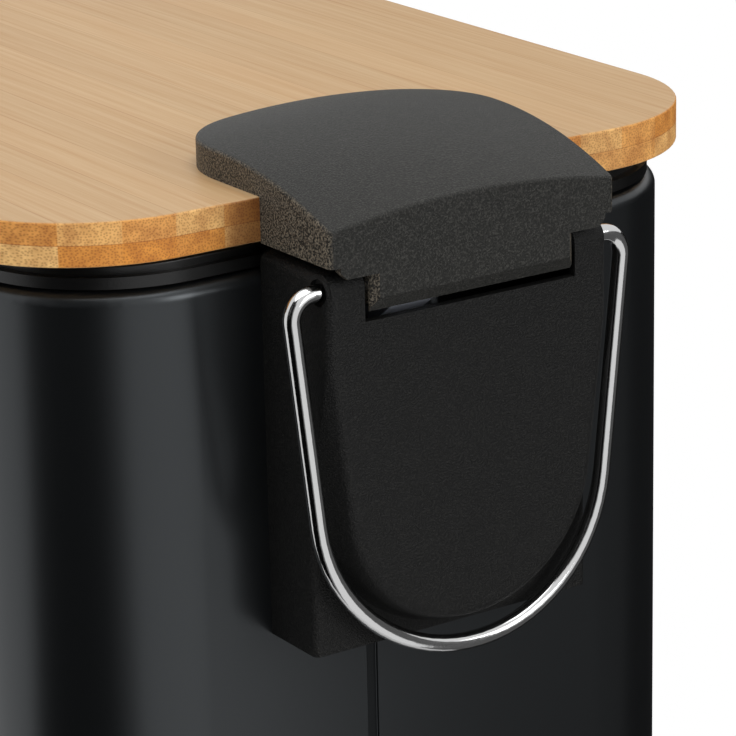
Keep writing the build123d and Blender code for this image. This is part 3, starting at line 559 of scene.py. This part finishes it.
# Rivets: soft steel, zinc plated, closed cold. Two hold the pedal's bracket under the floor plate,
# and two come up through the pedal's strip into the moulded pad.
rivet_fullness = 2.4
bracket_underside = 0.0324
bracket_rivet_rows = (-0.042, -0.018)
strip_underside = 0.013
pad_rivet_rows = (-0.1437, -0.1317)


def rivet_tree():
    """Geometry nodes that set a rivet on each point: a head below, a post and a closed top."""
    tree, given = shape_tree("closed_rivet", {
        "Places": "Geometry", "Post Radius": "Float", "Head Radius": "Float",
        "Head Height": "Float", "Top Height": "Float", "Length": "Float", "Finish": "Material"})
    head = dome(tree, given["Head Radius"], given["Head Height"], rivet_fullness)
    top = dome(tree, given["Head Radius"], given["Top Height"], rivet_fullness)
    seat = add_node(tree, "ShaderNodeCombineXYZ", inputs={"Z": given["Length"]})
    turned = add_node(tree, "GeometryNodeTransform", inputs={
        "Geometry": top, "Translation": seat.outputs["Vector"],
        "Rotation": (radians(180), 0.0, 0.0)})
    stem = post(tree, given["Post Radius"], given["Length"])
    rivet = add_node(tree, "GeometryNodeJoinGeometry", inputs={
        "Geometry": [head, turned.outputs["Geometry"], stem]})
    spread = add_node(tree, "GeometryNodeInstanceOnPoints", inputs={
        "Points": given["Places"], "Instance": rivet.outputs["Geometry"]})
    return end_tree(tree, spread.outputs["Instances"], given["Finish"])


closed_rivet = rivet_tree()
rivet_sizes = {
    "Post Radius": 0.0016, "Head Radius": 0.003, "Head Height": 0.0012, "Finish": zinc,
}
fasteners("bracket_rivets", closed_rivet,
          [(0, y, bracket_underside) for y in bracket_rivet_rows],
          {**rivet_sizes, "Length": 0.0023, "Top Height": 0.00035})
fasteners("pad_rivets", closed_rivet, [(0, y, strip_underside) for y in pad_rivet_rows],
          {**rivet_sizes, "Length": 0.005, "Top Height": 0.0001})


# Carrying bail: drawn steel wire, bent round formers and bright chrome plated. Its ends turn in to
# holes in the housing's sides, and it hangs a little out of true, lower at one side.
lid_hinge = Vector((0, 0.1436, 0.2675))
bail_radius = 0.0021
bail_end = 0.0343
bail_shoulder = 0.04653
bail_drop = 0.42177
bail_tilt = 0.787
bail_hook_bend = 0.0055
bail_loop_bend = 0.0405
draw_mark_size = 0.003
draw_mark_depth = 0.0003
wire_sides = 40
wire_edge_angle = 50.0


def rounded_path(corners, bends, turn_step=0.09):
    """The points of a wire's middle line: straights between corners, an arc at each bend."""
    corners = [Vector(corner) for corner in corners]
    points = [corners[0]]
    for before, corner, after, bend in zip(corners, corners[1:], corners[2:], bends):
        into = (corner - before).normalized()
        out = (after - corner).normalized()
        turn = into.angle(out)
        trim = bend * tan(turn / 2)
        axis = into.cross(out).normalized()
        middle = corner - into * trim + axis.cross(into) * bend
        spoke = corner - into * trim - middle
        count = max(3, round(turn / turn_step))
        for step in range(count + 1):
            points.append(middle + Matrix.Rotation(turn * step / count, 3, axis) @ spoke)
    return points + [corners[-1]]


def wire_tree():
    """Geometry nodes that give a middle line a round section, capped ends and a material."""
    tree, given = shape_tree("round_wire", {
        "Line": "Geometry", "Wire Radius": "Float", "Sides": "Int", "Finish": "Material"})
    section = add_node(tree, "GeometryNodeCurvePrimitiveCircle", {"mode": "RADIUS"}, {
        "Resolution": given["Sides"], "Radius": given["Wire Radius"]})
    swept = add_node(tree, "GeometryNodeCurveToMesh", inputs={
        "Curve": given["Line"], "Profile Curve": section.outputs["Curve"], "Fill Caps": True})
    return end_tree(tree, swept.outputs["Mesh"], given["Finish"])


round_wire = wire_tree()


def wire_piece(node_name, corners, bends, radius, material, tilt=0.0):
    """A round wire bent at its corners, that stands for a node; a tilt draws one side down."""
    points = rounded_path(corners, bends)
    level = points[0].z
    points = [Vector((x, y, level + (z - level) * (1 - tilt * x))) for x, y, z in points]
    line = bpy.data.curves.new(node_name + "_line", "CURVE")
    line.dimensions = "3D"
    spline = line.splines.new("POLY")
    spline.points.add(len(points) - 1)
    for point, place in zip(spline.points, points):
        point.co = (*place, 1.0)
    draft = bpy.data.objects.new(node_name + "_line", line)
    bpy.context.scene.collection.objects.link(draft)
    modifier = draft.modifiers.new("wire", "NODES")
    modifier.node_group = round_wire
    set_inputs(modifier, {"Wire Radius": radius, "Sides": wire_sides, "Finish": material})
    mesh = baked(draft, node_name + "_drawn")
    mesh.shade_smooth()
    mesh.set_sharp_from_angle(angle=radians(wire_edge_angle))
    stands_for(link_mesh(node_name + "_drawn", mesh), node_name)


chrome, chrome_tree, chrome_shader = new_material("bright_chrome_plate")
chrome_shader.inputs["Base Color"].default_value = linear("#C8C8C8")
chrome_shader.inputs["Metallic"].default_value = 1.0
chrome_shader.inputs["Roughness"].default_value = 0.12
chrome_place = add_node(chrome_tree, "ShaderNodeTexCoord")
chrome_draw = noise_on(chrome_tree, chrome_place.outputs["Object"], draw_mark_size, 2.0)
bump_on(chrome_tree, chrome_shader, chrome_draw, 0.12, draw_mark_depth)

bail_corners = [(bail_end, 0), (bail_shoulder, 0), (0, -bail_drop), (-bail_shoulder, 0),
                (-bail_end, 0)]
wire_piece("carry_bail", [lid_hinge + Vector((x, 0, z)) for x, z in bail_corners],
           [bail_hook_bend, bail_loop_bend, bail_hook_bend], bail_radius, chrome, bail_tilt)


# Bucket handle and lift rod: the same drawn wire, thinner and zinc plated. The handle hooks into
# the bucket's lugs and lies on its edge. The rod comes up inside the back wall, out through its
# window and across into the lever's slots.
thin_radius = 0.00175
handle_level = 0.24005
handle_end = 0.0728
handle_side = 0.080
handle_reach = 0.105
handle_hook_bend = 0.0021
handle_bend = 0.022
rod_x = 0.002
rod_foot_y = 0.11555
rod_foot_level = 0.0158
rod_knee_level = 0.205
rod_top_y = 0.1341
rod_top_level = 0.26057
rod_end_x = 0.0205
rod_knee_bend = 0.006
rod_end_bend = 0.0028

handle_corners = [(handle_end, 0), (handle_side, 0), (handle_side, handle_reach),
                  (-handle_side, handle_reach), (-handle_side, 0), (-handle_end, 0)]
wire_piece("bucket_handle", [(x, y, handle_level) for x, y in handle_corners],
           [handle_hook_bend, handle_bend, handle_bend, handle_hook_bend], thin_radius, zinc)

rod_corners = [
    (rod_x, rod_foot_y, rod_foot_level),
    (rod_x, rod_foot_y, rod_knee_level),
    (rod_x, rod_top_y, rod_knee_level + rod_top_y - rod_foot_y),
    (rod_x, rod_top_y, rod_top_level),
    (rod_end_x, rod_top_y, rod_top_level),
]
wire_piece("lift_rod", rod_corners, [rod_knee_bend, rod_knee_bend, rod_end_bend], thin_radius,
           zinc)


# Feet and bumpers: soft black rubber, moulded. Four feet stand under the base ring, and four
# buttons under the board sit over the rim ring. The rubber is matt, with a faint uneven bloom.
bloom_size = 0.0006

rubber, rubber_tree, rubber_shader = new_material("matt_black_rubber")
rubber_shader.inputs["Roughness"].default_value = 0.75
rubber_place = add_node(rubber_tree, "ShaderNodeTexCoord")
rubber_cloud = noise_on(rubber_tree, rubber_place.outputs["Object"], bloom_size, 2.0)
rubber_tone = add_node(rubber_tree, "ShaderNodeMapRange", inputs={
    "Value": rubber_cloud, "To Min": 0.008, "To Max": 0.014})
rubber_tree.links.new(rubber_tone.outputs["Result"], rubber_shader.inputs["Base Color"])
dressed("rubber_feet", rubber)
dressed("lid_bumpers", rubber)


# Lid board: bamboo split into strips, glued side by side in two layers, sanded and lacquered. The
# fibres run from hinge to pedal: pale streaks on the faces, brown dots on the sawn back and front.
# Each strip has a tone of its own, and a painted shadow of the cap darkens the sawn back beside
# it.
strip_width = 0.0125
strip_start = 0.0115
layer_level = 0.2796
glue_line = 0.00012
joint_line = 0.02
fibre_pitch = 0.00065
fibre_stretch = 60.0
streak_size = 0.0016
bamboo_cloud_size = 0.004
painted_shadow_full = 0.044
painted_shadow_gone = 0.053
honey_tone = "#DE8E2C"
straw_tone = "#F4C882"

bamboo, bamboo_tree, bamboo_shader = new_material("lacquered_bamboo")
bamboo_place = add_node(bamboo_tree, "ShaderNodeTexCoord")
bamboo_axes = add_node(bamboo_tree, "ShaderNodeSeparateXYZ", inputs={
    0: bamboo_place.outputs["Object"]}).outputs
bamboo_facing = add_node(bamboo_tree, "ShaderNodeSeparateXYZ", inputs={
    0: bamboo_place.outputs["Normal"]}).outputs


def tinted(tree, kind, share, first, second):
    """Two colours mixed or multiplied, by a share."""
    return add_node(tree, "ShaderNodeMixRGB", {"blend_type": kind}, {
        "Fac": share, "Color1": first, "Color2": second}).outputs["Color"]


def near_line(tree, value, half_width):
    """One at a value of zero, falling to nothing at half a line's width."""
    return add_node(tree, "ShaderNodeMapRange", inputs={
        "Value": sum_of(tree, "ABSOLUTE", value, 0.0), "From Min": 0.0, "From Max": half_width,
        "To Min": 1.0, "To Max": 0.0}).outputs["Result"]


layer = sum_of(bamboo_tree, "GREATER_THAN", bamboo_axes["Z"], layer_level)
strip_run = sum_of(bamboo_tree, "DIVIDE",
                   sum_of(bamboo_tree, "SUBTRACT", strip_start, bamboo_axes["X"]), strip_width)
strip_number = sum_of(bamboo_tree, "FLOOR", strip_run, 0.0)
strip_edge = sum_of(bamboo_tree, "SUBTRACT", strip_run,
                    sum_of(bamboo_tree, "ROUND", strip_run, 0.0))
strip_key = add_node(bamboo_tree, "ShaderNodeCombineXYZ", inputs={"X": strip_number, "Y": layer})
strip_random = add_node(bamboo_tree, "ShaderNodeTexWhiteNoise", {"noise_dimensions": "3D"}, {
    "Vector": strip_key.outputs["Vector"]}).outputs["Value"]
fibre_space = add_node(bamboo_tree, "ShaderNodeMapping", inputs={
    "Vector": bamboo_place.outputs["Object"], "Scale": (1.0, 1 / fibre_stretch, 1.0)})
sawn_face = add_node(bamboo_tree, "ShaderNodeCombineXYZ", inputs={
    "X": bamboo_axes["X"], "Y": bamboo_axes["Z"]})
bundles = add_node(bamboo_tree, "ShaderNodeTexVoronoi", {
    "feature": "F1", "voronoi_dimensions": "2D"}, {
    "Vector": sawn_face.outputs["Vector"], "Scale": 1 / fibre_pitch, "Randomness": 0.8})
streaks = noise_on(bamboo_tree, fibre_space.outputs["Vector"], streak_size, 5.0, 0.7)
clouds = noise_on(bamboo_tree, bamboo_place.outputs["Object"], bamboo_cloud_size, 3.0, 0.6)

face_tone = tone_between(bamboo_tree, streaks, 0.30, 0.64, "#BC9263", "#CAA97E")
strip_pale = add_node(bamboo_tree, "ShaderNodeMapRange", inputs={
    "Value": strip_random, "To Min": 0.95, "To Max": 1.04})
face_tone = tinted(bamboo_tree, "MULTIPLY", 1.0, face_tone, strip_pale.outputs["Result"])
joint = near_line(bamboo_tree, strip_edge, joint_line)
face_tone = tinted(bamboo_tree, "MULTIPLY", joint, face_tone, linear("#E8D8C8"))

end_tone = tone_between(bamboo_tree, strip_random, 0.0, 1.0, honey_tone, straw_tone)
cloud_tone = tone_between(bamboo_tree, clouds, 0.35, 0.65, "#DDD0C6", "#FFFFFF")
end_tone = tinted(bamboo_tree, "MULTIPLY", 1.0, end_tone, cloud_tone)
dot_tone = tone_between(bamboo_tree, bundles.outputs["Distance"], 0.08, 0.46, "#A06C3C", "#FFFFFF")
end_tone = tinted(bamboo_tree, "MULTIPLY", 0.5, end_tone, dot_tone)
above_glue = sum_of(bamboo_tree, "SUBTRACT", bamboo_axes["Z"], layer_level)
glue = near_line(bamboo_tree, above_glue, glue_line)
end_tone = tinted(bamboo_tree, "MULTIPLY", glue, end_tone, linear("#C8A890"))
end_share = add_node(bamboo_tree, "ShaderNodeMapRange", inputs={
    "Value": sum_of(bamboo_tree, "ABSOLUTE", bamboo_facing["Z"], 0.0),
    "From Min": 0.55, "From Max": 0.95, "To Min": 1.0, "To Max": 0.0})
# Painted shadow: the sawn back is darkened towards the cap, on the hinge side of the board only.
painted_shadow_fall = add_node(bamboo_tree, "ShaderNodeMapRange", {"interpolation_type": "SMOOTHSTEP"}, {
    "Value": bamboo_axes["X"], "From Min": painted_shadow_full, "From Max": painted_shadow_gone,
    "To Min": 1.0, "To Max": 0.0})
beside_cap = sum_of(bamboo_tree, "MULTIPLY",
                    sum_of(bamboo_tree, "GREATER_THAN", bamboo_axes["X"], 0.0),
                    sum_of(bamboo_tree, "GREATER_THAN", bamboo_axes["Y"], 0.0))
painted_cap_shadow = sum_of(bamboo_tree, "MULTIPLY", painted_shadow_fall.outputs["Result"], beside_cap)
end_tone = tinted(bamboo_tree, "MULTIPLY", painted_cap_shadow, end_tone, linear("#ADA098"))
bamboo_tree.links.new(tinted(bamboo_tree, "MIX", end_share.outputs["Result"], face_tone, end_tone),
                      bamboo_shader.inputs["Base Color"])
bamboo_shader.inputs["Roughness"].default_value = 0.5
bamboo_shader.inputs["Specular IOR Level"].default_value = 0.35
dressed("lid_board", bamboo)


# Hinge cap: the same plastic, crowned both ways, from a mould eroded more deeply. Faces turned to
# the sides get pale, warm grains: a painted glint of raking light on the grain, with a painted
# reflection of the board's warm light. Four screws go up into it from under the board. Its grain
# is drawn coarser than the real pits, so that it shows.
glint_grain_size = 0.00045
glint_from = 0.3
glint_full = 0.9

cap_plastic = moulding("deep_textured_black_polypropylene", "#20201E", "#403F3C",
                       grain_size=0.0004, grain_depth=0.0003, roughness=0.5, gloss=0.18)
cap_tree = cap_plastic.node_tree
cap_place = add_node(cap_tree, "ShaderNodeTexCoord")
cap_facing = add_node(cap_tree, "ShaderNodeSeparateXYZ", inputs={0: cap_place.outputs["Normal"]})
# Painted glint: the side faces' grain is paler and warmer than the top's, by which way a face
# turns.
painted_glint_share = add_node(cap_tree, "ShaderNodeMapRange", inputs={
    "Value": sum_of(cap_tree, "ABSOLUTE", cap_facing.outputs["X"], 0.0),
    "From Min": glint_from, "From Max": glint_full})
glint_grain = noise_on(cap_tree, cap_place.outputs["Object"], glint_grain_size, 1.0)
painted_glint_tone = tone_between(cap_tree, glint_grain, 0.40, 0.66, "#1C1A17", "#776E60")
cap_shader = cap_tree.nodes["Principled BSDF"]
cap_tone = cap_shader.inputs["Base Color"].links[0].from_socket
cap_tree.links.new(tinted(cap_tree, "MIX", painted_glint_share.outputs["Result"], cap_tone, painted_glint_tone),
                   cap_shader.inputs["Base Color"])
dressed("hinge_cap", cap_plastic, sharp_angle=25.0)


# Bucket: plain dark grey polypropylene, moulded with draft so that it lifts out of the body. Its
# mould is nearly smooth, so the plastic shows hardly any grain.
bucket_plastic = moulding("plain_grey_polypropylene", "#2E2E30", "#363638",
                          grain_size=0.0008, grain_depth=0.00002, roughness=0.4)
dressed("inner_bucket", bucket_plastic)
